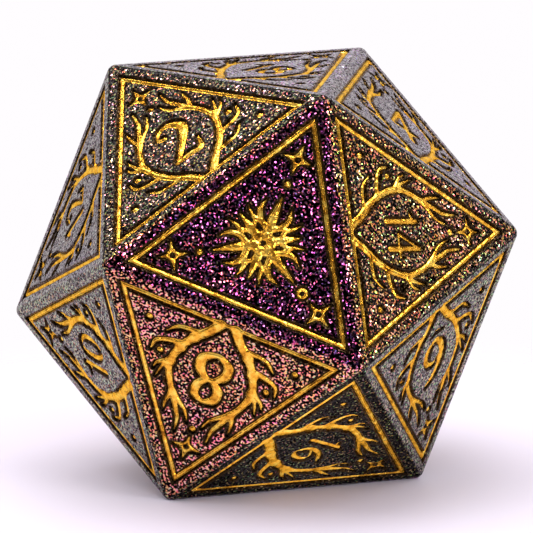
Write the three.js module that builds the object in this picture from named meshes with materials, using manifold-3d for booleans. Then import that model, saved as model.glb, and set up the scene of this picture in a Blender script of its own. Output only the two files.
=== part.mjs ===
// A cast metal twenty-sided die.
// The body is one icosahedron with rounded edges. Each face is engraved with a border line that grows
// into a pair of bare twigs, and with its number. Every engraved pocket holds its own fill of gold enamel,
// and each separate fill is a mesh of its own. Opposite faces add up to 21.
// Millimetres, +Z up. The die stands on its 3 face, whose centre is the origin, and the 18 is on top.
import * as THREE from "three";
import { ConvexGeometry } from "three/addons/geometries/ConvexGeometry.js";
import { mergeVertices } from "three/addons/utils/BufferGeometryUtils.js";
import Module from "manifold-3d";

const wasm = await Module();
wasm.setup();

// Driving dimensions.
const ACROSS_FLATS = 22; // from a face to the opposite one
const EDGE_RADIUS = 0.5; // rounding of the edges and corners
const ROUNDING_STEPS = 2; // facets along each rounded corner patch
const POCKET_DEPTH = 0.45; // engraving below the face
const ENAMEL_RECESS = 0.08; // the enamel's surface below the face
const FIT_GAP = 0.02; // between the enamel and its pocket
const BORDER_SHARE = 0.82; // corner of the border line, as a share of the face's own
const BORDER_WIDTH = 0.44;
const ONE_DIGIT_HEIGHT = 3.1;
const TWO_DIGIT_HEIGHT = 2.4;
const DIGIT_CENTRE_Y = 0.15; // numbers stand this far above the middle of the face
const DIGIT_PITCH = 1.42; // between the middles of a pair of digits
const STAR_DISTANCE = 4.7; // middle of the face to a corner star
const STAR_RAY = 0.62;
const STAR_WAIST = 0.2;
const STAR_RAYS = 4;
const ROSETTE_ARMS = 3;

// How outlines are drawn and joined.
const CURVE_STEPS_PER_POINT = 1.25; // sampling of a drawn curve, per point that it passes through
const POINTED = 1e-6; // a line narrower than this ends in a point
const POINT_REACH = 8; // how far a point moves out when its line is widened, per unit of widening
const STAR_POINT_REACH = 3; // the same for the points of a star
const SHARPEST_MITRE = 0.6; // cosine that limits how far a bend's corner reaches
const SEAM_TOLERANCE = 1e-3; // bends flatter than this are seams
const WELD_DISTANCE = 1e-5; // vertices nearer than this are one

// Proportions of an icosahedron that stands on a face.
const GOLDEN = (1 + Math.sqrt(5)) / 2;
const INRADIUS = ACROSS_FLATS / 2;
const FACE_RADIUS = ACROSS_FLATS / GOLDEN ** 2; // middle of a face to its corner
const BORDER_RADIUS = FACE_RADIUS * BORDER_SHARE;
const TURN = 2 * Math.PI;
const THIRD_OF_TURN = TURN / 3;

const SUM_OF_OPPOSITE_FACES = 21;
const ROSETTE_FACE = 20; // this face carries a rosette in place of its number
const CORNERS_IN_HALF = 6;
const NEIGHBOUR_LIMIT = THREE.MathUtils.degToRad(45); // only faces that share an edge turn by less than this

// Half of the faces: the number, then the corners at its top, bottom left and bottom right,
// as a reader sees it.
// Corners 0 to 5 are the upper half of the die, and 6 to 11 are opposite them in the same order.
const FACES = [
  { value: 20, apex: 0, left: 5, right: 10 },
  { value: 2, apex: 2, left: 5, right: 0 },
  { value: 14, apex: 3, left: 0, right: 10 },
  { value: 8, apex: 7, left: 10, right: 5 },
  { value: 16, apex: 8, left: 10, right: 7 },
  { value: 10, apex: 9, left: 7, right: 5 },
  { value: 12, apex: 9, left: 5, right: 2 },
  { value: 18, apex: 1, left: 2, right: 0 },
  { value: 4, apex: 1, left: 0, right: 3 },
  { value: 6, apex: 8, left: 3, right: 10 },
];

// A drawn line is a list of [x, y, width] in the face's own plane, x to the reader's right and y to the top.
// The twigs of the right-hand side; the left-hand side mirrors them. A width of 0 is a pointed tip.
const TWIGS = [
  [[0.5, -3.45, 0.55], [1.95, -1.2, 0.46], [2.3, 0.05, 0.4], [1.55, 1.9, 0.3], [1.0, 3.0, 0.24],
    [0.92, 4.0, 0]],
  [[1.7, 1.75, 0.34], [0.45, 3.15, 0]],
  [[1.65, 1.75, 0.3], [1.82, 3.0, 0]],
  [[1.1, -2.4, 0.4], [3.0, -1.95, 0]],
  [[1.9, -1.3, 0.36], [3.1, -1.1, 0.3], [3.7, -0.2, 0]],
  [[2.2, -0.05, 0.36], [3.1, 0.65, 0]],
  [[2.2, 0, 0.3], [2.6, 1.1, 0]],
];

// Digits are drawn two units high and about one wide, around their middle.
// loop marks a line that closes on itself, and straight one that keeps its corners.
const DIGITS = {
  0: [
    {
      loop: true,
      line: [[0, 0.9, 0.18], [-0.42, 0.5, 0.28], [-0.42, -0.5, 0.28], [0, -0.9, 0.18], [0.42, -0.5, 0.28],
        [0.42, 0.5, 0.28]],
    },
  ],
  1: [
    { straight: true, line: [[0.05, 1, 0.3], [0.05, -1, 0.3]] },
    { straight: true, line: [[0.1, 0.9, 0.22], [-0.4, 0.55, 0]] },
  ],
  2: [
    {
      line: [[-0.42, 0.42, 0.24], [-0.3, 0.82, 0.2], [0.1, 0.93, 0.24], [0.42, 0.5, 0.34], [0, -0.2, 0.26],
        [-0.42, -0.85, 0.2]],
    },
    { straight: true, line: [[-0.5, -0.87, 0.24], [0.35, -0.87, 0.24], [0.55, -0.4, 0]] },
  ],
  3: [
    { line: [[-0.42, 0.66, 0.2], [0.05, 0.92, 0.22], [0.36, 0.52, 0.32], [-0.12, 0.08, 0.2]] },
    { line: [[-0.12, 0.08, 0.2], [0.46, -0.35, 0.34], [0.05, -0.9, 0.24], [-0.46, -0.62, 0.2]] },
  ],
  4: [
    { straight: true, line: [[0.22, 0.95, 0.2], [-0.5, -0.3, 0.2], [0.62, -0.3, 0.2]] },
    { straight: true, line: [[0.22, 1, 0.28], [0.22, -1, 0.28]] },
  ],
  5: [
    { straight: true, line: [[0.45, 0.88, 0.22], [-0.3, 0.88, 0.22], [-0.36, 0.1, 0.18]] },
    {
      line: [[-0.36, 0.12, 0.18], [0.2, 0.2, 0.24], [0.46, -0.35, 0.34], [0.05, -0.9, 0.24],
        [-0.46, -0.66, 0.2]],
    },
  ],
  6: [
    {
      loop: true,
      line: [[0.02, 0.12, 0.2], [-0.42, -0.38, 0.32], [0.02, -0.9, 0.2], [0.42, -0.38, 0.32]],
    },
    { line: [[0.34, 0.9, 0], [-0.18, 0.52, 0.28], [-0.42, -0.3, 0.3]] },
  ],
  7: [
    { straight: true, line: [[-0.5, 0.5, 0], [-0.4, 0.88, 0.24], [0.42, 0.88, 0.24]] },
    { straight: true, line: [[0.42, 0.95, 0.22], [0.05, 0.05, 0.28], [-0.16, -1, 0.3]] },
  ],
  8: [
    {
      loop: true,
      line: [[0, 0.92, 0.2], [-0.34, 0.5, 0.28], [0, 0.08, 0.24], [0.34, 0.5, 0.28]],
    },
    {
      loop: true,
      line: [[0, 0.08, 0.24], [-0.42, -0.42, 0.32], [0, -0.92, 0.22], [0.42, -0.42, 0.32]],
    },
  ],
};
DIGITS[9] = DIGITS[6].map((stroke) => ({
  ...stroke,
  line: stroke.line.map(([x, y, width]) => [-x, -y, width]),
}));

// Under the 6 and the 9, so that they can't be mistaken for each other.
const UNDERLINE = [{ line: [[-0.7, -1.72, 0], [0, -1.9, 0.3], [0.7, -1.72, 0]] }];

// One arm of the rosette; turned copies make the others.
const ROSETTE_ARM = [
  { straight: true, line: [[0, 0.4, 0.5], [0, 3.1, 0]] },
  { straight: true, line: [[0, 0.9, 0.36], [0.9, 2.2, 0]] },
  { straight: true, line: [[0, 0.9, 0.36], [-0.9, 2.2, 0]] },
  { straight: true, line: [[0, -0.5, 0.44], [0, -1.9, 0]] },
];
const ROSETTE_RING = {
  loop: true,
  straight: true,
  line: [[0, 0.62, 0.34], [-0.54, 0.31, 0.34], [-0.54, -0.31, 0.34], [0, -0.62, 0.34], [0.54, -0.31, 0.34],
    [0.54, 0.31, 0.34]],
};

// The look of each kind of piece.
const shiftingCoat = new THREE.MeshStandardMaterial({ color: 0x4a3a4c, roughness: 0.45, metalness: 0.9 });
const goldEnamel = new THREE.MeshStandardMaterial({ color: 0xd9a02c, roughness: 0.35, metalness: 0.9 });

// Corners of the icosahedron, around its middle.
function ringCorner(radius, height, degrees) {
  const angle = THREE.MathUtils.degToRad(degrees);
  return new THREE.Vector3(radius * Math.cos(angle), radius * Math.sin(angle), height);
}

function icosahedronCorners() {
  const top = [-90, 30, 150].map((degrees) => ringCorner(FACE_RADIUS, INRADIUS, degrees));
  const belt = [-30, 90, 210].map((degrees) =>
    ringCorner(GOLDEN * FACE_RADIUS, INRADIUS - FACE_RADIUS, degrees),
  );
  const half = [...top, ...belt];
  return [...half, ...half.map((corner) => corner.clone().negate())];
}

const CORNERS = icosahedronCorners();

function oppositeCorner(index) {
  return (index + CORNERS_IN_HALF) % CORNERS.length;
}

function oppositeFace({ value, apex, left, right }) {
  return {
    value: SUM_OF_OPPOSITE_FACES - value,
    apex: oppositeCorner(apex),
    left: oppositeCorner(right),
    right: oppositeCorner(left),
  };
}

// The face's own frame: origin at its middle, x to the reader's right, y to the number's top, z outwards.
function faceFrame({ apex, left, right }) {
  const corners = [apex, left, right].map((index) => CORNERS[index]);
  const middle = corners.reduce((sum, corner) => sum.add(corner), new THREE.Vector3()).divideScalar(3);
  const outward = middle.clone().normalize();
  const up = corners[0].clone().sub(middle).normalize();
  const across = new THREE.Vector3().crossVectors(up, outward);
  const frame = new THREE.Matrix4().makeBasis(across, up, outward);
  return frame.setPosition(middle.x, middle.y, middle.z + INRADIUS);
}

// Solids and geometries.
function solidOf(geometry) {
  const plain = geometry.index ? geometry.toNonIndexed() : geometry.clone();
  plain.deleteAttribute("normal");
  plain.deleteAttribute("uv");
  const merged = mergeVertices(plain, WELD_DISTANCE);
  return new wasm.Manifold(
    new wasm.Mesh({
      numProp: 3,
      vertProperties: merged.attributes.position.array,
      triVerts: new Uint32Array(merged.index.array),
    }),
  );
}

function geometryOf(solid) {
  const mesh = solid.getMesh();
  const geometry = new THREE.BufferGeometry();
  geometry.setAttribute("position", new THREE.BufferAttribute(mesh.vertProperties, 3));
  geometry.setIndex(new THREE.BufferAttribute(mesh.triVerts, 1));
  return geometry;
}

// The same solid without the edges that a join leaves across its flat faces.
function withoutSeams(solid) {
  return solid.asOriginal().simplify(SEAM_TOLERANCE);
}

function union(solids) {
  return withoutSeams(solids.reduce((all, solid) => all.add(solid)));
}

// The points of a drawn line and its width at each of them.
function samples({ line, loop = false, straight = false }) {
  const points = line.map(([x, y, width]) => new THREE.Vector3(x, y, width));
  if (straight) return points;
  const curve = new THREE.CatmullRomCurve3(points, loop);
  const steps = Math.round(points.length * CURVE_STEPS_PER_POINT);
  const sampled = curve.getPoints(steps);
  return loop ? sampled.slice(0, -1) : sampled;
}

// The same line widened all round. A pointed end stays pointed, so it moves out along the line.
function widened(points, loop, grow) {
  return points.map((point, i) => {
    const atEnd = !loop && (i === 0 || i === points.length - 1);
    if (!atEnd || point.z > POINTED) return point.clone().setZ(point.z + 2 * grow);
    const inner = points[i === 0 ? 1 : i - 1];
    const outwards = point.clone().sub(inner).setZ(0).setLength(grow * POINT_REACH);
    return point.clone().add(outwards);
  });
}

// One side of a line: each point moved across it by half the width there.
function side(points, loop, direction) {
  const last = points.length - 1;
  return points.map((point, i) => {
    const before = points[i > 0 ? i - 1 : loop ? last : i];
    const after = points[i < last ? i + 1 : loop ? 0 : i];
    const incoming = new THREE.Vector2(point.x - before.x, point.y - before.y).normalize();
    const outgoing = new THREE.Vector2(after.x - point.x, after.y - point.y).normalize();
    const along = incoming.clone().add(outgoing).normalize();
    const mitre = 1 / Math.max(along.dot(i < last ? outgoing : incoming), SHARPEST_MITRE);
    const offset = (direction * mitre * point.z) / 2;
    return new THREE.Vector2(point.x - along.y * offset, point.y + along.x * offset);
  });
}

function strokeShape(stroke, grow) {
  const points = widened(samples(stroke), stroke.loop, grow);
  const one = side(points, stroke.loop, -1);
  const other = side(points, stroke.loop, 1);
  if (stroke.loop) {
    const shape = new THREE.Shape(one);
    shape.holes.push(new THREE.Path(other));
    return shape;
  }
  const back = other.filter((_, i) => points[i].z > POINTED).reverse();
  return new THREE.Shape([...one, ...back]);
}

function slab(shape, bottom, top) {
  const geometry = new THREE.ExtrudeGeometry(shape, { depth: top - bottom, bevelEnabled: false });
  return geometry.translate(0, 0, bottom);
}

// Outlines of one face's motifs. Each takes grow, and gives a list of shapes that join into one piece.
function borderShape(grow) {
  const triangle = (radius) =>
    [0, 1, 2].map((k) => {
      const angle = TURN / 4 + k * THIRD_OF_TURN;
      return new THREE.Vector2(radius * Math.cos(angle), radius * Math.sin(angle));
    });
  const reach = BORDER_WIDTH + 2 * grow; // a corner lies twice as far out as its sides do
  const shape = new THREE.Shape(triangle(BORDER_RADIUS + reach));
  shape.holes.push(new THREE.Path(triangle(BORDER_RADIUS - reach)));
  return shape;
}

function mirrored(line) {
  return line.map(([x, y, width]) => [-x, y, width]);
}

function wreathShapes(grow) {
  const lines = [...TWIGS, ...TWIGS.map(mirrored)];
  return [borderShape(grow), ...lines.map((line) => strokeShape({ line, straight: true }, grow))];
}

function placed(strokes, scale, x, y) {
  const move = ([px, py, width]) => [x + px * scale, y + py * scale, width * scale];
  return strokes.map((stroke) => ({ ...stroke, line: stroke.line.map(move) }));
}

function turned(stroke, angle) {
  const turn = ([x, y, width]) => [
    x * Math.cos(angle) - y * Math.sin(angle),
    x * Math.sin(angle) + y * Math.cos(angle),
    width,
  ];
  return { ...stroke, line: stroke.line.map(turn) };
}

function rosetteStrokes() {
  const arms = Array.from({ length: ROSETTE_ARMS }, (_, k) =>
    ROSETTE_ARM.map((stroke) => turned(stroke, (k * TURN) / ROSETTE_ARMS)),
  );
  return [ROSETTE_RING, ...arms.flat()];
}

function starShape(corner, grow) {
  const angle = TURN / 4 + corner * THIRD_OF_TURN;
  const points = Array.from({ length: 2 * STAR_RAYS }, (_, k) => {
    const radius = k % 2 ? STAR_WAIST + grow : STAR_RAY + grow * STAR_POINT_REACH;
    const spoke = angle + (k * TURN) / (2 * STAR_RAYS);
    return new THREE.Vector2(
      STAR_DISTANCE * Math.cos(angle) + radius * Math.cos(spoke),
      STAR_DISTANCE * Math.sin(angle) + radius * Math.sin(spoke),
    );
  });
  return new THREE.Shape(points);
}

// Everything engraved on a face: the name of each fill, and its outlines.
function numberMotifs(value) {
  const digits = [...String(value)];
  const scale = (digits.length > 1 ? TWO_DIGIT_HEIGHT : ONE_DIGIT_HEIGHT) / 2;
  const motifs = digits.map((digit, i) => {
    const x = (i - (digits.length - 1) / 2) * DIGIT_PITCH;
    const strokes = placed(DIGITS[digit], scale, x, DIGIT_CENTRE_Y);
    const name = digits.length > 1 ? `numeral_${value}_digit_${i + 1}` : `numeral_${value}`;
    return { name, shapes: (grow) => strokes.map((stroke) => strokeShape(stroke, grow)) };
  });
  if (value === 6 || value === 9) {
    motifs.push({
      name: `numeral_${value}_underline`,
      shapes: (grow) => UNDERLINE.map((stroke) => strokeShape(stroke, grow)),
    });
  }
  return [{ name: `wreath_${value}`, shapes: wreathShapes }, ...motifs];
}

function rosetteMotifs(value) {
  const stars = [0, 1, 2].map((corner) => ({
    name: `star_${value}_${corner + 1}`,
    shapes: (grow) => [starShape(corner, grow)],
  }));
  return [
    { name: `border_${value}`, shapes: (grow) => [borderShape(grow)] },
    { name: `rosette_${value}`, shapes: (grow) => rosetteStrokes().map((s) => strokeShape(s, grow)) },
    ...stars,
  ];
}

function motifsOf(value) {
  return value === ROSETTE_FACE ? rosetteMotifs(value) : numberMotifs(value);
}

// The solid body before engraving: a small ball rolled inside every corner of the icosahedron.
function roundedIcosahedron() {
  const inner = 1 - EDGE_RADIUS / INRADIUS;
  const normals = allFaces.map((face) => {
    const sum = [face.apex, face.left, face.right].reduce((s, i) => s.add(CORNERS[i]), new THREE.Vector3());
    return { face, direction: sum.normalize() };
  });
  const points = [];
  CORNERS.forEach((corner, index) => {
    const around = normals
      .filter(({ face }) => [face.apex, face.left, face.right].includes(index))
      .map(({ direction }) => direction);
    const tip = corner.clone().normalize();
    around.forEach((a, i) =>
      around.slice(i + 1).forEach((b) => {
        if (a.angleTo(b) > NEIGHBOUR_LIMIT) return;
        for (let m = 0; m <= ROUNDING_STEPS; m++)
          for (let n = 0; m + n <= ROUNDING_STEPS; n++) {
            const direction = tip.clone().multiplyScalar(ROUNDING_STEPS - m - n);
            direction.addScaledVector(a, m).addScaledVector(b, n).normalize();
            points.push(corner.clone().multiplyScalar(inner).addScaledVector(direction, EDGE_RADIUS));
          }
      }),
    );
  });
  return new ConvexGeometry(points).translate(0, 0, INRADIUS);
}

function enamelFill(motif) {
  const bottom = FIT_GAP - POCKET_DEPTH;
  const solids = motif.shapes(0).map((shape) => solidOf(slab(shape, bottom, -ENAMEL_RECESS)));
  const mesh = new THREE.Mesh(geometryOf(union(solids)), goldEnamel);
  mesh.name = motif.name;
  return mesh;
}

function pockets(face, frame) {
  const shapes = motifsOf(face.value).flatMap((motif) => motif.shapes(FIT_GAP));
  const solids = shapes.map((shape) => solidOf(slab(shape, -POCKET_DEPTH, POCKET_DEPTH)));
  return solidOf(geometryOf(union(solids)).applyMatrix4(frame));
}

const allFaces = [...FACES, ...FACES.map(oppositeFace)];
const die = new THREE.Group();
let body = solidOf(roundedIcosahedron());
for (const face of allFaces) {
  const frame = faceFrame(face);
  body = body.subtract(pockets(face, frame));
  const group = new THREE.Group();
  group.applyMatrix4(frame);
  motifsOf(face.value).forEach((motif) => group.add(enamelFill(motif)));
  die.add(group);
}
const bodyMesh = new THREE.Mesh(geometryOf(withoutSeams(body)), shiftingCoat);
bodyMesh.name = "die_body";
die.add(bodyMesh);

export default die;
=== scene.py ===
"""A cast metal twenty-sided die: colour-shift coat, with gold enamel in the engraving. Studio close-up.

The engraving is drawn as lines of varying width in each face's own plane, in millimetres. The distance
to the nearest line's edge gives the depth of the groove, and its contours give the mesh.
"""

import math

import bpy
import numpy as np
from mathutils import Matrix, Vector
from mathutils.geometry import delaunay_2d_cdt


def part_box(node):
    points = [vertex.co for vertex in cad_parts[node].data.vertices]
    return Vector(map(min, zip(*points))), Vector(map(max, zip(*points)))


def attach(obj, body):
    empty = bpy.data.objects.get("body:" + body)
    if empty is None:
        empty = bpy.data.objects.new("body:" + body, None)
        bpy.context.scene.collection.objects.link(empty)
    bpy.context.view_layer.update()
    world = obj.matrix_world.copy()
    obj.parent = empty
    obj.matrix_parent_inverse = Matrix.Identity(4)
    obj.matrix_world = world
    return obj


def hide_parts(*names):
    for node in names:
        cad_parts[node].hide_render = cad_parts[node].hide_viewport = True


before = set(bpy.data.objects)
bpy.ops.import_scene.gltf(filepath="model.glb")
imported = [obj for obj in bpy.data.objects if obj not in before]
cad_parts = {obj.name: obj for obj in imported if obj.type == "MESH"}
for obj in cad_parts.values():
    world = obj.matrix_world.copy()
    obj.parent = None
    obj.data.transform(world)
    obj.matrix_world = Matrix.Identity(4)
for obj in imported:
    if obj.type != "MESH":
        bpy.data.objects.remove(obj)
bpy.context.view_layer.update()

MM = 0.001
low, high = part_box("die_body")
ACROSS_FLATS = (high.z - low.z) / MM

# Proportions of an icosahedron that stands on a face.
GOLDEN = (1 + math.sqrt(5)) / 2
INRADIUS = ACROSS_FLATS / 2
FACE_RADIUS = ACROSS_FLATS / GOLDEN**2
EDGE_RADIUS = 0.5
INNER_SHARE = 1 - EDGE_RADIUS / INRADIUS  # the body's edges are this icosahedron, grown by EDGE_RADIUS
FLAT_RADIUS = FACE_RADIUS * INNER_SHARE
CORNERS_IN_HALF = 6
SUM_OF_OPPOSITE_FACES = 21
UNDERLINED_NUMBERS = (6, 9)
ROSETTE_FACE = 20
TOP = math.pi / 2  # direction of a face's top corner, as its reader sees it
TURNS = tuple(k * 2 * math.pi / 3 for k in range(3))  # from that corner to each of the three
DIE_MIDDLE = (0, 0, INRADIUS * MM)  # in metres; all other lengths up to the coat's are in millimetres

# Engraving.
BORDER_SHARE = 0.82  # how far out the border line's corners are, as a share of the face's
BORDER_INRADIUS = FACE_RADIUS * BORDER_SHARE / 2
BORDER_WIDTH = 0.38
ONE_DIGIT_SCALE = 1.6
TWO_DIGIT_SCALE = 1.1
DIGIT_WEIGHT = 0.12  # added to the widths of the digits' lines
DIGIT_CENTRE_Y = 0.1
DIGIT_PITCH = 1.28
STAR_DISTANCE = 4.75
DOT_WIDTH = 0.48
FINE_TWIGS = (0.7, 0.17)  # what the twigs' widths are multiplied by, and what is added to them
HEAVY_TWIGS = (1.0, 0.12)
HEAVY_FACES = (8, 16, 10, 5, 11, 19)  # their twigs are knotted, and cut more heavily than the others
TWIG_FILLET = 0.08  # rounding where the lines of a wreath or rosette meet
DIGIT_FILLET = 0.03

# Section of a groove: distance outside the line's edge, height of the surface there, and its slope.
# The walls are steep, and the enamel rises again towards the middle of the line.
SECTION_DISTANCE = (-0.25, -0.17, -0.12, -0.07, -0.03, 0.015, 0.05)
SECTION_HEIGHT = (-0.035, -0.05, -0.095, -0.135, -0.095, -0.02, 0.0)
SECTION_SLOPE = (-0.1, -0.45, -0.9, 1.0, 2.0, 1.2, 0.0)
ENAMEL_EDGE = -0.07  # the enamel lines the groove inside this contour
PAINTED_SHADE_REACH = 0.1  # painted shade on the coat fades out this far outside a line's edge
CONTOURS = (PAINTED_SHADE_REACH, 0.05, 0.015, -0.03, ENAMEL_EDGE, -0.12, -0.17)
ENAMEL_THICKNESS = 0.06
POCKET_GAP = 0.012  # under the enamel
ENAMEL_GAP = 0.006  # between the enamel's rim and the wall of its groove
UNDERLINE_BELOW = -1.5  # an enamel fill whose middle is lower than this is the mark under a number

# Meshing.
GRID_STEP = 0.035  # of the grid on which contours are found
CURVE_STEPS = 8  # between two points that a curve passes through
DOT_LENGTH = 1e-3  # a dot is a very short line
GRADIENT_STEP = 0.004
SIMPLIFY = 0.0065  # a contour's point nearer than this to its neighbours' chord is left out
SHORTEST_LOOP = 8  # contours with fewer points than this are noise
SEARCH_REACH = 0.3  # a line's distance is worked out this far from its edge
FAR = 1.0  # the distance given where no line is near
TINY = 1e-12  # nothing is divided by less than this
MESH_TOLERANCE = 1e-6
WELD = 1e-4  # points nearer than this are one
ROUNDING_STEPS = 7  # across a rounded edge

# Half of the faces: number, then the corners at its top, bottom left and bottom right, as a reader
# sees them. The other half is worked out from these.
FACES = (
    (20, 0, 5, 10),
    (2, 2, 5, 0),
    (14, 3, 0, 10),
    (8, 7, 10, 5),
    (16, 8, 10, 7),
    (10, 9, 7, 5),
    (12, 9, 5, 2),
    (18, 1, 2, 0),
    (4, 1, 0, 3),
    (6, 8, 3, 10),
)

# A drawn line is a list of (x, y, width).
# The twigs of the right-hand side; the left-hand side mirrors them.
TWIGS = (
    ((0.42, -3.38, 0.62), (0.85, -2.72, 0.56), (1.5, -2.0, 0.5), (2.0, -1.15, 0.46), (2.32, 0.0, 0.44),
     (2.08, 0.95, 0.38), (1.62, 1.85, 0.36), (1.28, 2.55, 0.3), (0.98, 3.2, 0.22), (0.9, 4.0, 0.1)),
    ((1.68, 1.7, 0.36), (1.2, 2.15, 0.28), (0.72, 2.6, 0.22), (0.42, 3.2, 0.1)),
    ((1.66, 1.7, 0.32), (1.84, 2.35, 0.24), (1.84, 3.0, 0.08)),
    ((1.1, -2.35, 0.42), (1.8, -2.38, 0.3), (2.5, -2.25, 0.24), (3.0, -1.75, 0.1)),
    ((1.9, -1.35, 0.42), (2.7, -1.25, 0.32), (3.35, -0.95, 0.26), (3.5, -0.35, 0.1)),
    ((2.25, -0.1, 0.4), (2.65, 0.15, 0.28), (2.95, 0.4, 0.22), (3.05, 0.7, 0.08)),
    ((2.35, -0.05, 0.32), (2.62, 0.5, 0.22), (2.8, 1.15, 0.08)),
)
# Swellings of the heavy twigs, as (x, y, width).
KNOTS = ((1.5, -2.0, 0.78), (2.05, -1.1, 0.8), (2.3, 0.0, 0.74), (1.65, 1.8, 0.62))
DOTS = ((0.0, 3.5), (3.0, -0.45), (-3.0, -0.45), (4.1, -2.2), (-4.1, -2.2))
EMPTY_PIT_FACE = 14  # one dot of this face has lost its enamel
EMPTY_PIT = DOTS[1]
STAR_SPIKE = ((0.0, 0.3, 0.38), (0.0, 0.78, 0.18))
STAR_POINTS = 4
STAR_RING = 0.31
STAR_RING_WIDTH = 0.3

# Digits are drawn two units high around their middle. The first word says how a line is drawn.
DIGITS = {
    "0": (("loop", ((0, 0.94, 0.18), (-0.38, 0.66, 0.28), (-0.5, 0, 0.34), (-0.38, -0.66, 0.28),
                    (0, -0.94, 0.18), (0.38, -0.66, 0.28), (0.5, 0, 0.34), (0.38, 0.66, 0.28))),),
    "1": (("straight", ((0.05, 0.95, 0.26), (0.05, -0.95, 0.3))),
          ("curve", ((0.08, 0.92, 0.2), (-0.12, 0.66, 0.16), (-0.4, 0.58, 0.12)))),
    "2": (("curve", ((-0.3, 0.5, 0.2), (-0.5, 0.62, 0.16), (-0.34, 0.9, 0.16), (0.1, 0.95, 0.24),
                     (0.42, 0.5, 0.36), (0.12, -0.1, 0.26), (-0.46, -0.84, 0.18))),
          ("curve", ((-0.5, -0.86, 0.22), (0.0, -0.84, 0.24), (0.42, -0.88, 0.24), (0.58, -0.4, 0.1)))),
    "3": (("curve", ((-0.38, 0.6, 0.22), (-0.2, 0.9, 0.16), (0.14, 0.92, 0.2), (0.38, 0.55, 0.32),
                     (-0.1, 0.1, 0.18))),
          ("curve", ((-0.1, 0.1, 0.18), (0.32, 0.02, 0.26), (0.46, -0.4, 0.34), (0.1, -0.88, 0.22),
                     (-0.28, -0.86, 0.16), (-0.46, -0.6, 0.22)))),
    "4": (("straight", ((0.2, 0.95, 0.16), (-0.5, -0.3, 0.16), (0.6, -0.3, 0.18))),
          ("straight", ((0.22, 0.98, 0.22), (0.22, -0.95, 0.28)))),
    "5": (("straight", ((-0.32, 0.86, 0.22), (0.44, 0.86, 0.22))),
          ("straight", ((-0.3, 0.88, 0.18), (-0.38, 0.12, 0.16))),
          ("curve", ((-0.38, 0.12, 0.16), (0.1, 0.28, 0.22), (0.46, -0.3, 0.34), (0.1, -0.88, 0.22),
                     (-0.28, -0.86, 0.16), (-0.46, -0.6, 0.22)))),
    "6": (("curve", ((0.36, 0.9, 0.14), (-0.1, 0.62, 0.24), (-0.42, 0.05, 0.32), (-0.4, -0.55, 0.3),
                     (0.02, -0.9, 0.2), (0.42, -0.6, 0.3), (0.4, -0.1, 0.26), (0.06, 0.1, 0.16),
                     (-0.32, -0.16, 0.14))),),
    "7": (("curve", ((-0.5, 0.5, 0.12), (-0.4, 0.86, 0.22), (0.0, 0.84, 0.22), (0.46, 0.9, 0.2))),
          ("curve", ((0.46, 0.9, 0.18), (0.12, 0.2, 0.24), (-0.14, -0.95, 0.32)))),
    "8": (("loop", ((0.02, 0.94, 0.2), (-0.33, 0.76, 0.34), (-0.35, 0.34, 0.34), (0, 0.06, 0.2),
                    (0.33, 0.32, 0.3), (0.35, 0.74, 0.3))),
          ("loop", ((0, 0.06, 0.2), (-0.42, -0.24, 0.34), (-0.44, -0.7, 0.34), (0, -0.95, 0.22),
                    (0.44, -0.7, 0.36), (0.42, -0.24, 0.36)))),
}
DIGITS["9"] = tuple((way, tuple((-x, -y, w) for x, y, w in line)) for way, line in DIGITS["6"])
UNDERLINE = (("curve", ((-0.62, -1.88, 0.12), (0, -2.0, 0.28), (0.62, -1.88, 0.12))),)

# One half of an arm of the rosette; mirrored and turned copies make the rest.
ROSETTE_ARM = (
    ("straight", ((0, 0.4, 0.66), (0, 1.4, 0.56), (0, 2.65, 0.18))),
    ("curve", ((0, 0.75, 0.5), (0.55, 1.1, 0.46), (0.82, 1.6, 0.4), (0.72, 2.2, 0.18))),
    ("curve", ((0.5, 1.05, 0.42), (1.05, 1.15, 0.36), (1.5, 1.6, 0.18))),
    ("curve", ((0, -0.4, 0.6), (0, -1.2, 0.5), (0, -1.95, 0.18))),
    ("curve", ((0, -0.9, 0.42), (0.42, -1.25, 0.36), (0.52, -1.8, 0.18))),
)
ROSETTE_RING = 0.62
ROSETTE_RING_WIDTH = 0.42
ROSETTE_RING_SIDES = 6
ROSETTE_DOT_DISTANCE = 3.35
HOLLOW_DOT = 0.22  # radius of the one dot that is a ring
HOLLOW_DOT_WIDTH = 0.32
HOLLOW_DOT_SIDES = 12

# Numbers are meshed inside this outline, and wreaths outside it, so that each wreath is meshed once.
WINDOW_RIGHT = (
    (0.5, -2.3), (1.0, -1.8), (1.62, -0.75), (1.76, 0.1), (1.55, 1.15), (1.2, 1.62), (0.6, 2.16),
)
WINDOW = np.array([*WINDOW_RIGHT, *((-x, y) for x, y in reversed(WINDOW_RIGHT))])

# Coat: flakes, each with its own tilt and tint, in a coarser grain. Clouds move its colour a little.
FLAKE = 0.085 * MM
FLAKE_TILT = 0.9
FLAKE_TINT = 0.8
FLAKE_ROUGHNESS = 0.18
GRAIN = 0.12 * MM
GRAIN_CONTRAST = 1e15
GRAIN_LEVEL = 0.57  # where the grain has the coat's own brightness
GRAIN_LEVEL_RISE = 0.12  # in the band of painted shade
GRAIN_BRIGHTEST = 3.0
CLOUDS_PER_METRE = 300.0
CLOUD_DETAIL = 3.0
CLOUD_DRIFT = 0.3
# Painted colour shift, reflection and shade: each face's coat colour and brightness are set by its angle
# to the camera's direction, fixed in the die's space.
PAINTED_VIEW_AXIS = (-0.359, -0.911, 0.202)  # a face that looks along this is purple, and one across it grey
PAINTED_VIEW_COLOURS = (
    (0.19, (0.34, 0.26, 0.35)),
    (0.25, (0.06, 0.045, 0.07)),
    (0.4, (0.22, 0.24, 0.1)),
    (0.47, (0.12, 0.1, 0.035)),
    (0.66, (0.3, 0.2, 0.11)),
    (0.74, (0.42, 0.18, 0.055)),
    (0.83, (0.9, 0.27, 0.2)),
    (0.97, (0.17, 0.042, 0.12)),
)
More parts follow.
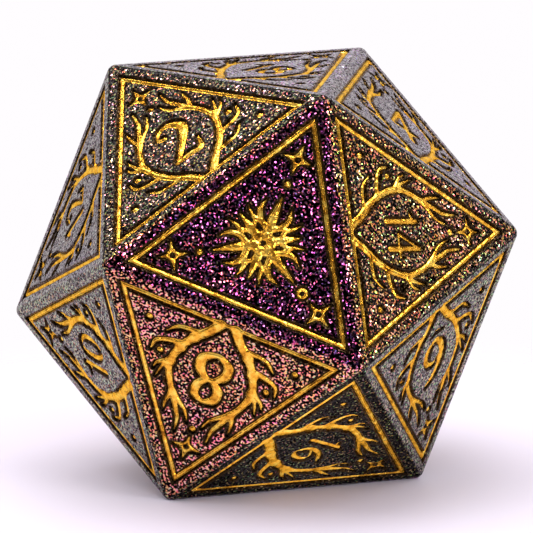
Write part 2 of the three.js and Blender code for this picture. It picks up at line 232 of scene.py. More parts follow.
# Painted shade: faces at this band of angles to the camera's direction are painted darker, less metallic
# and with less lacquer.
PAINTED_SHADE_BAND = ((0.43, (0, 0, 0)), (0.46, (1, 1, 1)), (0.52, (1, 1, 1)), (0.58, (0, 0, 0)))
PAINTED_SHADE_METAL_LOSS = 0.8
PAINTED_SHADE_LACQUER_LOSS = 0.95
COAT_EDGE_TINT = (1.0, 0.9, 0.94)
LACQUER_TILT = 0.45
LACQUER_GRAIN = (0.4, 0.6)  # lacquer is thinnest below this range of the grain, and full above it
LACQUER_THINNEST = 0.05
LACQUER_ROUGHNESS = 0.22
LACQUER_IOR = 1.2
# Dark colour for the painted shade at the lips and walls of the grooves, and for the enamel's worn
# streaks.
PATINA_AND_PAINTED_SHADE = (0.03, 0.018, 0.008)

# Enamel.
GOLD_TONES = ((0.32, (0.5, 0.18, 0.01)), (0.5, (0.95, 0.46, 0.045)), (0.68, (1.0, 0.68, 0.12)))
GOLD_EDGE_TINT = (1.0, 0.88, 0.4)  # gold that is seen along its surface
GOLD_METALLIC = 0.9
GOLD_ROUGHNESS = 0.1
GOLD_ROUGHENING = 0.3  # more roughness where the wear is greatest
WEAR_PER_METRE = 1900.0
WEAR_DETAIL = 4.0
WEAR_RAGGEDNESS = 0.65
LIP_SHADE_FADE = (-0.065, -0.11)  # from the painted shade at the lip to unshaded enamel, as distances outside a line's edge
UNSHADED_GOLD_SHARE = 1.4
LIP_RAGGEDNESS = 4.0
BRUSH_MARKS_PER_METRE = 2400.0
BRUSH_MARK_DETAIL = 2.5
BRUSH_MARK_DEPTH = 0.13 * MM

# Stage, in metres.
FLOOR_COLOUR = (0.8, 0.74, 0.85)
FLOOR_ROUGHNESS = 0.6
FLOOR_GLOSS = 0.2
FLOOR_FADE = (0.02, 0.038)  # from the die's foot
FLOOR_STEPS = 96
CARD_COLOUR = (0.04, 0.04, 0.04)
CARD_ROUGHNESS = 0.9
CARD_DISTANCE = 0.2
CARD_STEPS = 24
FRONT_CARD_SPAN = (-121, 80)  # degrees round the die, from the front
FRONT_CARD_HEIGHTS = (0.004, 0.25)
TOP_CARD_RADIUS = 0.24
TENT_COLOUR = (1.0, 0.98, 1.0)
TENT_STRENGTH = 1.0

# Lights: name, place, diameter, power, target, and whether it is a gleam. A gleam is seen only in
# reflections, and the other lights light only matt surfaces.
LIGHTS = (
    ("softbox", (-0.1, 0.12, 0.5), 0.6, 1.85, DIE_MIDDLE, False),
    ("top_gleam", (0.04, -0.06, 0.24), 0.16, 1.0, DIE_MIDDLE, True),
    ("right_gleam", (0.2, -0.06, 0.1), 0.08, 0.15, DIE_MIDDLE, True),
    ("left_gleam", (-0.17, -0.1, 0.12), 0.08, 0.06, DIE_MIDDLE, True),
    ("low_gleam", (0.04, -0.17, 0.01), 0.05, 0.1, DIE_MIDDLE, True),
    ("foot_gleam", (0, -0.0105, 0.0003), 0.013, 0.0002, (0, -0.0105, 1), True),
    ("back_gleam", (-0.075, 0.09, 0.23), 0.06, 0.25, DIE_MIDDLE, True),
    ("floor_fill", (0.02, -0.08, 0.045), 0.04, 0.018, DIE_MIDDLE, False),
)

CAMERA_AZIMUTH = -21.51
CAMERA_ELEVATION = 11.63
CAMERA_DISTANCE = 0.4962
CAMERA_LENS = 629.05
CAMERA_CLIP = 0.05
CAMERA_AIM_RIGHT = 0.048  # millimetres from the die's middle
CAMERA_AIM_UP = 0.282


# ---- Drawing -------------------------------------------------------------------------------------
def curve_through(points, loop=False):
    """A smooth line through points, each with its width, as an array of (x, y, width)."""
    p = np.array(points, float)
    before = p[-1:] if loop else 2 * p[:1] - p[1:2]
    after = p[:2] if loop else 2 * p[-1:] - p[-2:-1]
    padded = np.vstack([before, p, after])
    t = np.linspace(0, 1, CURVE_STEPS, endpoint=False)[:, None]
    spans = [
        b + 0.5 * t * (c - a + t * (2 * a - 5 * b + 4 * c - d + t * (3 * (b - c) + d - a)))
        for a, b, c, d in zip(padded, padded[1:], padded[2:], padded[3:])
    ]
    line = np.vstack([*spans, p[:1] if loop else p[-1:]])
    line[:, 2] = line[:, 2].clip(0)
    return line


def drawn(stroke):
    way, points = stroke
    return np.array(points, float) if way == "straight" else curve_through(points, way == "loop")


def moved(line, scale=1.0, x=0.0, y=0.0, angle=0.0, mirror=False):
    """A copy of a line: scaled, mirrored, turned about the face's middle and then shifted."""
    out = line * scale
    if mirror:
        out[:, 0] *= -1
    cosine, sine = math.cos(angle), math.sin(angle)
    turned = out[:, :2] @ np.array([[cosine, sine], [-sine, cosine]])
    return np.column_stack([turned + (x, y), out[:, 2]])


def dot(x, y, width=DOT_WIDTH):
    return np.array([[x, y, width], [x + DOT_LENGTH, y, width]])


def ring(radius, width, sides):
    angles = np.linspace(0, 2 * math.pi, sides + 1) + TOP
    return np.column_stack([radius * np.cos(angles), radius * np.sin(angles), np.full(sides + 1, width)])


def star(turn):
    """A four-pointed star with a hollow middle, towards the corner at that turn from the top."""
    lines = [ring(STAR_RING, STAR_RING_WIDTH, STAR_POINTS)]
    for k in range(STAR_POINTS):
        lines.append(moved(np.array(STAR_SPIKE), angle=k * 2 * math.pi / STAR_POINTS))
    return [moved(moved(line, y=STAR_DISTANCE), angle=turn) for line in lines]


def line_distance(points, line):
    """Distance from each point to a drawn line's edge: negative inside it, FAR where it isn't near."""
    best = np.full(len(points), FAR)
    for a, b in zip(line, line[1:]):
        reach = max(a[2], b[2]) / 2 + SEARCH_REACH
        lowest = np.minimum(a[:2], b[:2]) - reach
        highest = np.maximum(a[:2], b[:2]) + reach
        near = np.nonzero(((points > lowest) & (points < highest)).all(1))[0]
        along = b[:2] - a[:2]
        p = points[near] - a[:2]
        share = (p @ along / max(along @ along, TINY)).clip(0, 1)
        gap = np.hypot(*(p - share[:, None] * along).T) - (a[2] + (b[2] - a[2]) * share) / 2
        best[near] = np.minimum(best[near], gap)
    return best


def border_distance(points):
    """Distance from each point to the edge of the triangular border line."""
    sides = [TOP + math.pi + turn for turn in TURNS]
    outwards = np.array([[math.cos(a), math.sin(a)] for a in sides])
    return np.abs((points @ outwards.T).max(1) - BORDER_INRADIUS) - BORDER_WIDTH / 2


def joined(one, other, reach):
    """The nearer of two distances, with a fillet of about that reach where they meet."""
    overlap = (reach - np.abs(one - other)).clip(0) / reach
    return np.minimum(one, other) - overlap**2 * reach / 4


class Drawing:
    """Lines, with or without the border, in one face's plane."""

    def __init__(self, lines, fillet, border):
        self.lines = lines
        self.fillet = fillet
        self.border = border

    def distance(self, points):
        total = border_distance(points) if self.border else np.full(len(points), FAR)
        for line in self.lines:
            total = joined(total, line_distance(points, line), self.fillet)
        return total

    def gradient(self, points):
        east, north = np.array([GRADIENT_STEP, 0]), np.array([0, GRADIENT_STEP])
        dx = self.distance(points + east) - self.distance(points - east)
        dy = self.distance(points + north) - self.distance(points - north)
        return np.column_stack([dx, dy]) / (2 * GRADIENT_STEP)


def wreath_drawing(weight):
    """The border with the twigs that grow out of its base, the top corner's star, and the dots."""
    scale, added = weight
    lines = [curve_through(points) * (1, 1, scale) + (0, 0, added) for points in TWIGS]
    if weight == HEAVY_TWIGS:
        lines += [dot(*knot) for knot in KNOTS]
    lines += [moved(line, mirror=True) for line in lines]
    lines += star(TURNS[0]) + [dot(x, y) for x, y in DOTS]
    return Drawing(lines, TWIG_FILLET, border=True)


def number_drawing(value):
    digits = str(value)
    scale = TWO_DIGIT_SCALE if len(digits) > 1 else ONE_DIGIT_SCALE
    lines = []
    for i, digit in enumerate(digits):
        x = (i - (len(digits) - 1) / 2) * DIGIT_PITCH
        for stroke in DIGITS[digit]:
            line = moved(drawn(stroke), scale, x, DIGIT_CENTRE_Y)
            lines.append(line + (0, 0, DIGIT_WEIGHT))
    if value in UNDERLINED_NUMBERS:
        lines += [drawn(stroke) for stroke in UNDERLINE]
    return Drawing(lines, DIGIT_FILLET, border=False)


def rosette_drawing():
    """The border, the middle ornament's arms, and a star and a dot towards each corner."""
    lines = [ring(ROSETTE_RING, ROSETTE_RING_WIDTH, ROSETTE_RING_SIDES)]
    dots = [dot(0, 0), dot(0, 0), ring(HOLLOW_DOT, HOLLOW_DOT_WIDTH, HOLLOW_DOT_SIDES)]
    for turn, middle in zip(TURNS, dots):
        for stroke in ROSETTE_ARM:
            lines.append(moved(drawn(stroke), angle=turn))
            lines.append(moved(moved(drawn(stroke), mirror=True), angle=turn))
        lines += star(turn)
        lines.append(moved(moved(middle, y=ROSETTE_DOT_DISTANCE), angle=turn))
    return Drawing(lines, TWIG_FILLET, border=True)


# ---- Contours ------------------------------------------------------------------------------------
def crossings(values, xs, ys, level):
    """Where the contour crosses the grid's edges, and which two crossings each square joins."""
    inside = values < level
    numbers, points = [], []
    count = 0
    for along_x in (True, False):
        first = values[:, :-1] if along_x else values[:-1]
        second = values[:, 1:] if along_x else values[1:]
        cut = (inside[:, :-1] != inside[:, 1:]) if along_x else (inside[:-1] != inside[1:])
        row, column = np.nonzero(cut)
        share = (level - first[cut]) / (second[cut] - first[cut])
        x = xs[column] + (share * GRID_STEP if along_x else 0)
        y = ys[row] + (0 if along_x else share * GRID_STEP)
        points.append(np.column_stack([x, y]))
        number = np.full(cut.shape, -1)
        number[cut] = np.arange(count, count + len(row))
        numbers.append(number)
        count += len(row)
    across, up = numbers
    around = np.stack([across[:-1], up[:, 1:], across[1:], up[:, :-1]], -1).reshape(-1, 4)
    links = []
    for square in around[(around >= 0).any(1)]:
        cut = square[square >= 0]
        links += [cut] if len(cut) == 2 else [square[:2], square[2:]]
    return np.vstack(points), links


def trails(count, links):
    """Each line's points, by number and in order. A link says which two points are neighbours."""
    neighbours = [[] for _ in range(count)]
    for a, b in links:
        neighbours[a].append(b)
        neighbours[b].append(a)
    seen = np.zeros(count, bool)
    for start in range(count):
        trail = []
        step = None if seen[start] else start
        while step is not None:
            trail.append(step)
            seen[step] = True
            step = next((n for n in neighbours[step] if not seen[n]), None)
        if trail:
            yield trail


def simplified(loop):
    """A closed line without the points that nearly lie on its chords."""
    far = int(np.argmax(np.hypot(*(loop - loop[0]).T)))
    closed = np.vstack([loop, loop[:1]])
    keep = np.zeros(len(closed), bool)
    keep[[0, far]] = True
    spans = [(0, far), (far, len(loop))]
    while spans:
        start, end = spans.pop()
        if end - start < 2:
            continue
        chord = closed[end] - closed[start]
        offset = closed[start + 1 : end] - closed[start]
        length = math.hypot(*chord)
        if length > TINY:
            gap = np.abs(offset[:, 0] * chord[1] - offset[:, 1] * chord[0]) / length
        else:
            gap = np.hypot(*offset.T)
        middle = start + 1 + int(np.argmax(gap))
        if gap.max() > SIMPLIFY:
            keep[middle] = True
            spans += [(start, middle), (middle, end)]
    return closed[:-1][keep[:-1]]


def contour_loops(drawing, lowest, highest):
    """A drawing's closed contours at every level, between two corners of its plane."""
    xs = np.arange(lowest[0], highest[0], GRID_STEP)
    ys = np.arange(lowest[1], highest[1], GRID_STEP)
    grid = np.array(np.meshgrid(xs, ys)).reshape(2, -1).T
    values = drawing.distance(grid).reshape(len(ys), len(xs))
    loops = []
    for level in CONTOURS:
        points, links = crossings(values, xs, ys, level)
        for trail in trails(len(points), links):
            if len(trail) > SHORTEST_LOOP:
                loops.append(simplified(points[trail]))
    return [loop for loop in loops if len(loop) > 2]


# ---- One face's surface --------------------------------------------------------------------------
def regular_triangle(radius):
    angles = [TOP + turn for turn in TURNS]
    return np.array([[radius * math.cos(a), radius * math.sin(a)] for a in angles])


def inside_polygon(points, polygon):
    """Whether each point lies in a convex polygon whose corners run anticlockwise."""
    inside = np.ones(len(points), bool)
    for a, b in zip(polygon, np.roll(polygon, -1, 0)):
        inside &= (b[0] - a[0]) * (points[:, 1] - a[1]) > (b[1] - a[1]) * (points[:, 0] - a[0])
    return inside


def triangulated(loops):
    """Points and triangles that fill closed lines and keep every edge of theirs."""
    edges, start = [], 0
    for loop in loops:
        count = len(loop)
        edges += [(start + i, start + (i + 1) % count) for i in range(count)]
        start += count
    corners = [Vector(p) for p in np.vstack(loops)]
    points, _, faces, *_ = delaunay_2d_cdt(corners, edges, [], 0, MESH_TOLERANCE, False)
    return np.array([p[:] for p in points]), np.array([face for face in faces if len(face) == 3])


class Sheet:
    """A triangulated piece of one face: points, how deep and steep they are, and what is enamelled."""

    def __init__(self, drawing, outline, hole=None):
        loops = [outline] if hole is None else [outline, hole]
        loops += contour_loops(drawing, outline.min(0) - GRID_STEP, outline.max(0) + GRID_STEP)
        self.points, self.triangles = triangulated(loops)
        if hole is not None:
            middles = self.points[self.triangles].mean(1)
            self.triangles = self.triangles[~inside_polygon(middles, hole)]
        self.distance = drawing.distance(self.points)
        for level in CONTOURS:
            self.distance[np.abs(self.distance - level) < 2 * SIMPLIFY] = level
        self.height = np.interp(self.distance, SECTION_DISTANCE, SECTION_HEIGHT)
        slope = np.interp(self.distance, SECTION_DISTANCE, SECTION_SLOPE)
        self.gradient = drawing.gradient(self.points)
        self.normals = np.column_stack([-slope[:, None] * self.gradient, np.ones(len(slope))])
        self.normals /= np.linalg.norm(self.normals, axis=1)[:, None]
        self.enamelled = self.within_enamel(drawing)

    def within_enamel(self, drawing):
        """Whether each triangle is enamelled. Its corners decide where they can, else its middle."""
        corners = self.distance[self.triangles]
        inside = (corners <= ENAMEL_EDGE).all(1) & (corners < ENAMEL_EDGE).any(1)
        outside = (corners >= ENAMEL_EDGE).all(1) & (corners > ENAMEL_EDGE).any(1)
        middles = self.points[self.triangles].mean(1)
        return inside | (drawing.distance(middles) < ENAMEL_EDGE) & ~outside


# ---- The die's frame -----------------------------------------------------------------------------
def corner_positions():
    """The icosahedron's corners round its middle: the upper six, then the opposite six."""
    def at_height(radius, height, degrees):
        angles = [math.radians(d) for d in degrees]
        return [(radius * math.cos(a), radius * math.sin(a), height) for a in angles]

    half = at_height(FACE_RADIUS, INRADIUS, (-90, 30, 150))
    half += at_height(GOLDEN * FACE_RADIUS, INRADIUS - FACE_RADIUS, (-30, 90, 210))
    return np.vstack([half, -np.array(half)])


CORNERS = corner_positions()
MIDDLE = np.array([0, 0, INRADIUS])


def all_faces():
    """The listed faces, and the hidden ones opposite them."""
    def opposite(corner):
        return (corner + CORNERS_IN_HALF) % len(CORNERS)

    hidden = [
        (SUM_OF_OPPOSITE_FACES - value, opposite(apex), opposite(right), opposite(left))
        for value, apex, left, right in FACES
    ]
    return [*FACES, *hidden]


def unit(vector):
    return vector / np.linalg.norm(vector)


def face_axes(face):
    """Rows: the reader's right, the number's top, and outwards."""
    corners = CORNERS[list(face[1:])]
    outwards = unit(corners.sum(0))
    up = unit(corners[0] - corners.mean(0))
    return np.array([np.cross(up, outwards), up, outwards])


def in_space(points, axes, height):
    """Points of a face's plane, at heights over it, in the die's space."""
    flat = np.column_stack([points, height])
    return flat @ axes + axes[2] * INRADIUS + MIDDLE


def outward(faces, points):
    """The faces turned, where needed, so that they look away from the die's middle."""
    turned = []
    for face in faces:
        a, b, c = (points[i] - MIDDLE for i in face[:3])
        turned.append(face if np.cross(b - a, c - a) @ a > 0 else face[::-1])
    return turned


# ---- Solids from the sheets ----------------------------------------------------------------------
class Solid:
    """Vertices, normals and faces gathered for one mesh. A normal of zero is left to Blender."""

    def __init__(self):
        self.points = []
        self.normals = []
        self.groove = []
        self.faces = []
        self.count = 0

    def add(self, points, faces, normals=None, groove=None):
        self.points.append(points)
        self.normals.append(np.zeros((len(points), 3)) if normals is None else normals)
        self.groove.append(np.full(len(points), PAINTED_SHADE_REACH) if groove is None else groove)
        self.faces += [tuple(int(i) + self.count for i in face) for face in faces]
        self.count += len(points)

    def mesh(self, name):
        """One mesh, with points at the same place welded."""
        points = np.vstack(self.points)
        normals = np.vstack(self.normals)
        groove = np.concatenate(self.groove)
        _, first, merged = np.unique(
            (points / WELD).round().astype(np.int64), axis=0, return_index=True, return_inverse=True
        )
        merged = merged.ravel()
        faces = [tuple(dict.fromkeys(int(merged[i]) for i in face)) for face in self.faces]
        data = bpy.data.meshes.new(name)
        data.from_pydata((points[first] * MM).tolist(), [], [face for face in faces if len(face) > 2])
        data.attributes.new("groove", "FLOAT", "POINT").data.foreach_set("value", groove[first])
        data.shade_smooth()
        data.normals_split_custom_set_from_vertices(normals[first].tolist())
        return data


def outline_edges(triangles):
    """Edges that only one of the triangles uses, in that triangle's direction."""
    edges = np.vstack([triangles[:, [0, 1]], triangles[:, [1, 2]], triangles[:, [2, 0]]])
    ordered = np.sort(edges, 1)
    _, first, uses = np.unique(ordered, axis=0, return_index=True, return_counts=True)
    return edges[first[uses == 1]]


def add_engraved_face(body, sheet, axes):
    """The bare metal of a face, and the pocket under its enamel."""
    bare = sheet.triangles[~sheet.enamelled]
    under = sheet.triangles[sheet.enamelled]
    upper = in_space(sheet.points, axes, sheet.height)
    floor = in_space(sheet.points, axes, sheet.height - ENAMEL_THICKNESS - POCKET_GAP)
    body.add(upper, bare, sheet.normals @ axes, sheet.distance.clip(None, PAINTED_SHADE_REACH))
    body.add(floor, under, None, sheet.distance)
    walls = [(a, b, b + len(floor), a + len(floor)) for b, a in outline_edges(under)]
    body.add(np.vstack([upper, floor]), walls)


def add_rolled(body, places, faces):
    """Part of the rounding. A place is a corner, and the way that the surface looks from inside it."""
    points = [CORNERS[corner] * INNER_SHARE + EDGE_RADIUS * way + MIDDLE for corner, way in places]
    body.add(np.array(points), outward(faces, points), np.array([way for _, way in places]))


def add_edge_strip(body, ends, one, other):
    """The strip along an edge, between faces that look one way and the other."""
    steps = range(ROUNDING_STEPS + 1)
    ways = [unit(one * (ROUNDING_STEPS - k) + other * k) for k in steps]
    strip = [(k, k + 1, k + 2 + ROUNDING_STEPS, k + 1 + ROUNDING_STEPS) for k in steps[:-1]]
    add_rolled(body, [(corner, way) for corner in ends for way in ways], strip)


def add_corner_patch(body, corner, one, other):
    """A corner's patch between its tip and the end of an edge's strip."""
    steps = range(ROUNDING_STEPS + 1)
    grid = [(m, n) for m in steps for n in steps if m + n <= ROUNDING_STEPS]
    order = {key: number for number, key in enumerate(grid)}
    tip = unit(CORNERS[corner])
    ways = [unit(tip * (ROUNDING_STEPS - m - n) + one * m + other * n) for m, n in grid]
    patch = []
    for m, n in grid:
        if m + n < ROUNDING_STEPS:
            patch.append((order[m, n], order[m + 1, n], order[m, n + 1]))
        if m + n < ROUNDING_STEPS - 1:
            patch.append((order[m + 1, n], order[m + 1, n + 1], order[m, n + 1]))
    add_rolled(body, [(corner, way) for way in ways], patch)


def add_rounded_edges(body, faces):
    for i, face in enumerate(faces):
        for neighbour in faces[:i]:
            shared = sorted(set(face[1:]) & set(neighbour[1:]))
            if len(shared) == 2:
                one, other = face_axes(face)[2], face_axes(neighbour)[2]
                add_edge_strip(body, shared, one, other)
                for corner in shared:
                    add_corner_patch(body, corner, one, other)


def pieces_of(triangles):
    """Groups of triangles that touch, largest first."""
    group = np.arange(triangles.max() + 1)
    while True:
        updated = group.copy()
        for column in range(3):
            np.minimum.at(updated, triangles[:, column], group[triangles].min(1))
        updated = updated[updated]
        if (updated == group).all():
            break
        group = updated
    labels = group[triangles[:, 0]]
    groups = [triangles[labels == label] for label in np.unique(labels)]
    return sorted(groups, key=len, reverse=True)


def add_enamel(solid, sheet, triangles, axes):
    """A closed lining of enamel: the groove's surface, the same surface lower down, and its rim."""
    rim = outline_edges(triangles)
    inset = np.zeros_like(sheet.points)
    inset[rim] = ENAMEL_GAP
    points = sheet.points - inset * sheet.gradient
    upper = in_space(points, axes, sheet.height)
    lower = in_space(points, axes, sheet.height - ENAMEL_THICKNESS)
    count = len(points)
    normals = sheet.normals @ axes
    solid.add(upper, triangles, normals, sheet.distance)
    solid.add(lower, triangles[:, ::-1], None, sheet.distance)
    walls = [(b, a, a + count, b + count) for a, b in rim]
    wall_normals = np.vstack([normals, 0 * normals])
    solid.add(np.vstack([upper, lower]), walls, wall_normals, np.tile(sheet.distance, 2))


def is_empty_pit(value, points):
    """Whether a deposit with these points is the dot that has lost its enamel."""
    small = np.ptp(points[..., 0]) < DOT_WIDTH
    gap = np.linalg.norm(points.mean((0, 1)) - EMPTY_PIT)
    return value == EMPTY_PIT_FACE and small and gap < DOT_WIDTH


def number_name(value, x, y):
    if y < UNDERLINE_BELOW:
        return f"numeral_{value}_underline"
    if value < 10:
        return f"numeral_{value}"
    return f"numeral_{value}_digit_{1 if x < 0 else 2}"


def enamel_names(value, points, in_window):
    """What a deposit of enamel is called, and the CAD nodes that it stands for."""
    x, y = points.mean((0, 1))
    if in_window:
        name = number_name(value, x, y)
        return name, [name]
    if np.ptp(points[..., 0]) > FACE_RADIUS:
        name = f"border_{value}" if value == ROSETTE_FACE else f"wreath_{value}"
        return name, [name]
    if value == ROSETTE_FACE and math.hypot(x, y) < ROSETTE_RING:
        name = f"rosette_{value}"
        return name, [name]
    for corner, turn in enumerate(TURNS if value == ROSETTE_FACE else TURNS[:1]):
        star_x = STAR_DISTANCE * math.cos(TOP + turn)
        star_y = STAR_DISTANCE * math.sin(TOP + turn)
        if math.hypot(x - star_x, y - star_y) < STAR_RING:
            name = f"star_{value}_{corner + 1}"
            return name, [name] if value == ROSETTE_FACE else []
    return f"dots_{value}", []


def link_object(name, data):
    thing = bpy.data.objects.new(name, data)
    bpy.context.scene.collection.objects.link(thing)
    return thing


def add_piece(name, solid, material, replaced):
    data = solid.mesh(name)
    data.materials.append(material)
    piece = link_object(name, data)
    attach(piece, "root")
    if replaced:
        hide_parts(*replaced)


def build_die(coat, enamel):
    """The body, and a piece for each named deposit of enamel."""
    outline = regular_triangle(FLAT_RADIUS)
    rosette = Sheet(rosette_drawing(), outline)
    fine = Sheet(wreath_drawing(FINE_TWIGS), outline, WINDOW)
    heavy = Sheet(wreath_drawing(HEAVY_TWIGS), outline, WINDOW)
    faces = all_faces()
    body = Solid()
    add_rounded_edges(body, faces)
    for face in faces:
        value = face[0]
        axes = face_axes(face)
        if value == ROSETTE_FACE:
            sheets = [(rosette, False)]
        else:
            wreath = heavy if value in HEAVY_FACES else fine
            sheets = [(wreath, False), (Sheet(number_drawing(value), WINDOW), True)]
        deposits = {}
        for sheet, in_window in sheets:
            add_engraved_face(body, sheet, axes)
            for triangles in pieces_of(sheet.triangles[sheet.enamelled]):
                points = sheet.points[triangles]
                if is_empty_pit(value, points):
                    continue
                name, replaced = enamel_names(value, points, in_window)
                solid, _ = deposits.setdefault(name, (Solid(), replaced))
                add_enamel(solid, sheet, triangles, axes)
        for name, (solid, replaced) in deposits.items():
            add_piece(f"enamel_{name}", solid, enamel, replaced)
    add_piece("engraved_body", body, coat, ["die_body"])


# ---- Materials -----------------------------------------------------------------------------------
class Nodes:
    """Short names for making and joining a material's nodes."""

    def __init__(self, name):
        self.material = bpy.data.materials.new(name)
        self.material.use_nodes = True
        self.tree = self.material.node_tree
        self.shader = self.tree.nodes["Principled BSDF"]

    def add(self, kind, inputs=None, **settings):
        node = self.tree.nodes.new("ShaderNode" + kind)
        for key, value in settings.items():
            setattr(node, key, value)
        for key, value in (inputs or {}).items():
            self.feed(node.inputs[key], value)
        return node

    def feed(self, socket, value):
        if isinstance(value, bpy.types.NodeSocket):
            self.tree.links.new(value, socket)
        else:
            socket.default_value = value

    def shade(self, settings):
        """Settings of the shader itself."""
        for key, value in settings.items():
            self.feed(self.shader.inputs[key], value)

    def math(self, operation, a, b=0.0, c=0.0, clamp=False):
        node = self.add("Math", {0: a, 1: b, 2: c}, operation=operation, use_clamp=clamp)
        return node.outputs[0]

    def vector(self, operation, a, b=(0, 0, 0)):
        node = self.add("VectorMath", {0: a, 1: b}, operation=operation)
        return node.outputs["Value" if operation in ("DOT_PRODUCT", "LENGTH") else "Vector"]

    def noise(self, place, scale, detail, roughness=0.5):
        inputs = {"Vector": place, "Scale": scale, "Detail": detail, "Roughness": roughness}
        return self.add("TexNoise", inputs).outputs["Fac"]

    def ranged(self, value, start, end, low=0.0, high=1.0, interpolation="LINEAR"):
        """A value mapped from one range to another, and kept within it."""
        inputs = {"Value": value, "From Min": start, "From Max": end, "To Min": low, "To Max": high}
        return self.add("MapRange", inputs, interpolation_type=interpolation).outputs["Result"]

    def tilted(self, normal, tilt, share):
        """A normal that leans by a share of a tilt."""
        lean = self.add("VectorMath", {0: tilt, "Scale": share}, operation="SCALE").outputs["Vector"]
        return self.vector("NORMALIZE", self.vector("ADD", normal, lean))

    def ramp(self, value, stops):
        node = self.add("ValToRGB", {"Fac": value})
        elements = node.color_ramp.elements
        while len(elements) < len(stops):
            elements.new(0.5)
        for element, (position, colour) in zip(elements, stops):
            element.position = position
            element.color = (*colour, 1)
        return node.outputs["Color"]

    def mix(self, factor, one, other):
        """A mix of two colours. The Mix node's sockets for them are numbers 6 and 7, and output 2."""
        node = self.add("Mix", data_type="RGBA")
        self.feed(node.inputs[0], factor)
        self.feed(node.inputs[6], one)
        self.feed(node.inputs[7], other)
        return node.outputs[2]


def coat_colour(n, place, painted_view_facing, painted_shade, flakes, grain):
    """The coat's colour: painted by the face's angle to the camera's direction, which paints the coat's
    colour shift and each face's reflection and shade; tinted by flakes, and darkened by the grain, more
    so in the band of painted shade.
    """
    clouds = n.noise(place, CLOUDS_PER_METRE, CLOUD_DETAIL)
    drift = n.math("MULTIPLY", n.math("SUBTRACT", clouds, 0.5), CLOUD_DRIFT)
    painted_view_colour = n.ramp(n.math("ADD", painted_view_facing, drift), PAINTED_VIEW_COLOURS)
    tint = n.mix(FLAKE_TINT, (1, 1, 1, 1), flakes)
    level = n.math("SUBTRACT", grain, n.math("MULTIPLY_ADD", painted_shade, GRAIN_LEVEL_RISE, GRAIN_LEVEL))
    brightness = n.math("MINIMUM", n.math("POWER", GRAIN_CONTRAST, level), GRAIN_BRIGHTEST)
    return n.vector("MULTIPLY", n.vector("MULTIPLY", painted_view_colour, tint), brightness)


def coat_material():
    """Sprayed metallic coat: flakes under a clear lacquer, whose colour is painted by the way a face
    looks to the camera: painted colour shift, reflection and shade, with painted shade along the lines'
    lips.
    """
    n = Nodes("shifting_coat")
    texture = n.add("TexCoord")
    place = texture.outputs["Object"]
    painted_view_facing = n.math("ABSOLUTE", n.vector("DOT_PRODUCT", texture.outputs["Normal"], PAINTED_VIEW_AXIS))
    painted_shade = n.ramp(painted_view_facing, PAINTED_SHADE_BAND)
    flakes = n.add("TexVoronoi", {"Vector": place, "Scale": 1 / FLAKE}).outputs["Color"]
    grain = n.noise(place, 1 / GRAIN, 0.0)
    groove = n.add("Attribute", attribute_name="groove").outputs["Fac"]
    # Painted shade: the coat is darkened along each line's lip and down the groove's wall.
    painted_lip_shade = n.ranged(groove, PAINTED_SHADE_REACH, PAINTED_SHADE_REACH / 2)
    lacquer = n.ranged(grain, *LACQUER_GRAIN, LACQUER_THINNEST)
    lacquer = n.math("MULTIPLY", lacquer, n.math("MULTIPLY_ADD", painted_shade, -PAINTED_SHADE_LACQUER_LOSS, 1.0))
    normal = n.add("NewGeometry").outputs["Normal"]
    tilt = n.vector("SUBTRACT", flakes, (0.5, 0.5, 0.5))
    n.shade({
        "Base Color": n.mix(painted_lip_shade, coat_colour(n, place, painted_view_facing, painted_shade, flakes, grain), (*PATINA_AND_PAINTED_SHADE, 1)),
        "Metallic": n.math("MULTIPLY_ADD", painted_shade, -PAINTED_SHADE_METAL_LOSS, 1.0),
        "Roughness": FLAKE_ROUGHNESS,
        "Normal": n.tilted(normal, tilt, FLAKE_TILT),
        "Specular IOR Level": 0.0,
        "Specular Tint": (*COAT_EDGE_TINT, 1),
        "Coat Weight": n.math("MULTIPLY", n.math("SUBTRACT", 1.0, painted_lip_shade), lacquer),
        "Coat Roughness": LACQUER_ROUGHNESS,
        "Coat IOR": LACQUER_IOR,
        "Coat Normal": n.tilted(normal, tilt, LACQUER_TILT),
    })
    return n.material


def enamel_material():
    """Gold enamel: uneven, brushed in by hand, with painted shade near the lips of the grooves and dark
    worn streaks.
    """
    n = Nodes("gold_enamel")
    place = n.add("TexCoord").outputs["Object"]
    wear = n.noise(place, WEAR_PER_METRE, WEAR_DETAIL, WEAR_RAGGEDNESS)
    groove = n.add("Attribute", attribute_name="groove").outputs["Fac"]
    # Painted shade: the enamel darkens towards the lips of its groove; the wear noise adds dark streaks.
    past_lip_shade = n.ranged(groove, *LIP_SHADE_FADE, 0.0, UNSHADED_GOLD_SHARE)
    ragged = n.math("MULTIPLY", n.math("SUBTRACT", wear, 0.5), LIP_RAGGEDNESS)
    clean_and_unshaded = n.math("ADD", past_lip_shade, ragged, clamp=True)
    brush_marks = n.noise(place, BRUSH_MARKS_PER_METRE, BRUSH_MARK_DETAIL)
    bump = n.add("Bump", {"Strength": 1.0, "Distance": BRUSH_MARK_DEPTH, "Height": brush_marks})
    n.shade({
        "Base Color": n.mix(clean_and_unshaded, (*PATINA_AND_PAINTED_SHADE, 1), n.ramp(wear, GOLD_TONES)),
        "Metallic": GOLD_METALLIC,
        "Roughness": n.math("MULTIPLY_ADD", wear, GOLD_ROUGHENING, GOLD_ROUGHNESS),
        "Normal": bump.outputs["Normal"],
        "Specular Tint": (*GOLD_EDGE_TINT, 1),
    })
    return n.material


# ---- Stage, lights and camera --------------------------------------------------------------------
def circle(radius, height, sides):
    angles = [2 * math.pi * k / sides for k in range(sides)]
    return [(radius * math.cos(a), radius * math.sin(a), height) for a in angles]


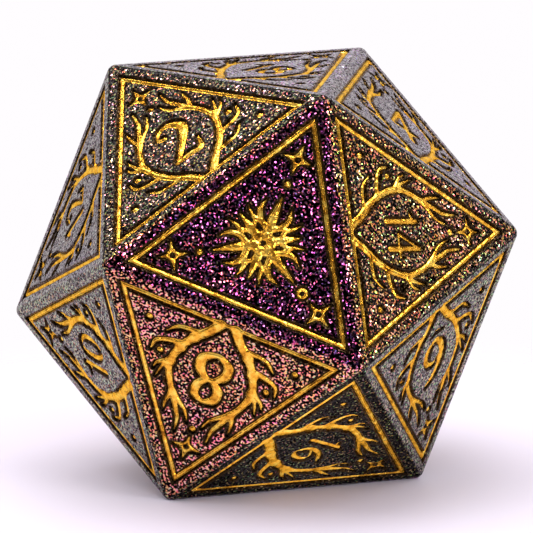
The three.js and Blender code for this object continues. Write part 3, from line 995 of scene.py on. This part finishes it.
def floor_material():
    """Pale lavender, which fades out behind the die into the white of the light tent."""
    n = Nodes("floor")
    n.shade({
        "Base Color": (*FLOOR_COLOUR, 1),
        "Roughness": FLOOR_ROUGHNESS,
        "Specular IOR Level": FLOOR_GLOSS,
    })
    distance = n.vector("LENGTH", n.add("TexCoord").outputs["Object"])
    fade = n.ranged(distance, *FLOOR_FADE, interpolation="SMOOTHSTEP")
    clear = n.add("BsdfTransparent")
    both = n.add("MixShader", {0: fade, 1: n.shader.outputs[0], 2: clear.outputs[0]})
    n.feed(n.tree.nodes["Material Output"].inputs["Surface"], both.outputs[0])
    return n.material


def add_floor():
    data = bpy.data.meshes.new("floor")
    data.from_pydata(circle(FLOOR_FADE[1], 0, FLOOR_STEPS), [], [tuple(range(FLOOR_STEPS))])
    data.materials.append(floor_material())
    floor = link_object("floor", data)


def add_world():
    world = bpy.data.worlds.new("light_tent")
    world.use_nodes = True
    background = world.node_tree.nodes["Background"]
    background.inputs["Color"].default_value = (*TENT_COLOUR, 1)
    background.inputs["Strength"].default_value = TENT_STRENGTH
    bpy.context.scene.world = world
    bpy.context.scene.view_settings.view_transform = "Standard"


def add_area_light(name, place, size, power, target, gleam):
    data = bpy.data.lights.new(name, "AREA")
    data.shape = "DISK"
    data.size = size
    data.energy = power
    light = link_object(name, data)
    light.visible_camera = False
    light.visible_diffuse = not gleam
    light.visible_glossy = gleam
    light.location = place
    light.rotation_euler = (Vector(target) - Vector(place)).to_track_quat("-Z", "Y").to_euler()


def add_dark_card(name, points, faces):
    """A dark card that the die reflects. The camera looks through it, and it casts no shadow."""
    data = bpy.data.meshes.new(name)
    data.from_pydata(points, [], faces)
    n = Nodes(name)
    n.shade({"Base Color": (*CARD_COLOUR, 1), "Roughness": CARD_ROUGHNESS})
    data.materials.append(n.material)
    card = link_object(name, data)
    card.visible_camera = False
    card.visible_diffuse = False
    card.visible_shadow = False


def add_dark_cards():
    """A curved card in front of the die, and a flat one over it."""
    angles = [math.radians(a) for a in np.linspace(*FRONT_CARD_SPAN, CARD_STEPS + 1)]
    rim = [(CARD_DISTANCE * math.sin(a), -CARD_DISTANCE * math.cos(a)) for a in angles]
    points = [(x, y, z) for x, y in rim for z in FRONT_CARD_HEIGHTS]
    faces = [(2 * k, 2 * k + 1, 2 * k + 3, 2 * k + 2) for k in range(CARD_STEPS)]
    add_dark_card("front_card", points, faces)
    over = circle(TOP_CARD_RADIUS, FRONT_CARD_HEIGHTS[1], CARD_STEPS)
    add_dark_card("top_card", over, [tuple(range(CARD_STEPS))])


def add_camera():
    azimuth, elevation = math.radians(CAMERA_AZIMUTH), math.radians(CAMERA_ELEVATION)
    level = math.cos(elevation)
    back = Vector((math.sin(azimuth) * level, -math.cos(azimuth) * level, math.sin(elevation)))
    right = Vector((0, 0, 1)).cross(back).normalized()
    up = back.cross(right)
    data = bpy.data.cameras.new("camera")
    data.lens = CAMERA_LENS
    data.clip_start = CAMERA_CLIP
    camera = link_object("camera", data)
    middle = Vector(DIE_MIDDLE)
    camera.location = middle + back * CAMERA_DISTANCE
    aim = middle + (right * CAMERA_AIM_RIGHT + up * CAMERA_AIM_UP) * MM
    camera.rotation_euler = (aim - camera.location).to_track_quat("-Z", "Y").to_euler()
    bpy.context.scene.camera = camera


build_die(coat_material(), enamel_material())
add_floor()
add_world()
for light in LIGHTS:
    add_area_light(*light)
add_dark_cards()
add_camera()
